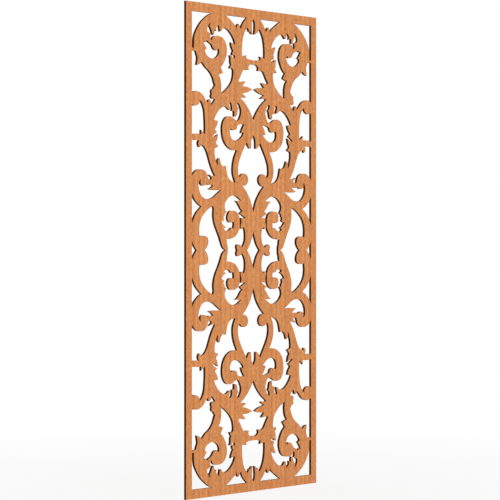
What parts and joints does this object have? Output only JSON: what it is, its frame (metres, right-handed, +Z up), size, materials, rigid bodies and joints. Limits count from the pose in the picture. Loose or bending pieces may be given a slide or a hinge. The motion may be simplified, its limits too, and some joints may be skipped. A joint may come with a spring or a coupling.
{
  "type": "fretwork panel",
  "caption": "Tall flat screen panel of pierced acanthus scrollwork inside a plain border, built as a jointed core with book-matched face veneers.",
  "frame": {"origin": "middle of the bottom edge, half way through the thickness", "axes": "+X to the right seen from the front, +Y through the thickness towards the back, +Z up"},
  "size_m": [0.8, 0.0112, 2],
  "materials": {
    "face_veneer": "satin orange-brown veneer with faint upright bands",
    "core_wood": "dark brown cut edge",
    "joint_wood": "plain beech, hidden inside the core"
  },
  "bodies": {
    "root": {"front_left_veneer": "face_veneer", "front_right_veneer": "face_veneer", "back_left_veneer": "face_veneer", "back_right_veneer": "face_veneer", "left_stile": "core_wood", "right_stile": "core_wood", "top_rail": "core_wood", "bottom_rail": "core_wood", "upper_left_fret": "core_wood", "upper_right_fret": "core_wood", "lower_left_fret": "core_wood", "lower_right_fret": "core_wood", "top_left_tenon": "joint_wood", "top_right_tenon": "joint_wood", "bottom_left_tenon": "joint_wood", "bottom_right_tenon": "joint_wood", "left_stile_dowels": "joint_wood", "right_stile_dowels": "joint_wood", "top_rail_dowels": "joint_wood", "bottom_rail_dowels": "joint_wood", "centre_seam_dowels": "joint_wood", "waist_dowels": "joint_wood"}
  },
  "joints": []
}
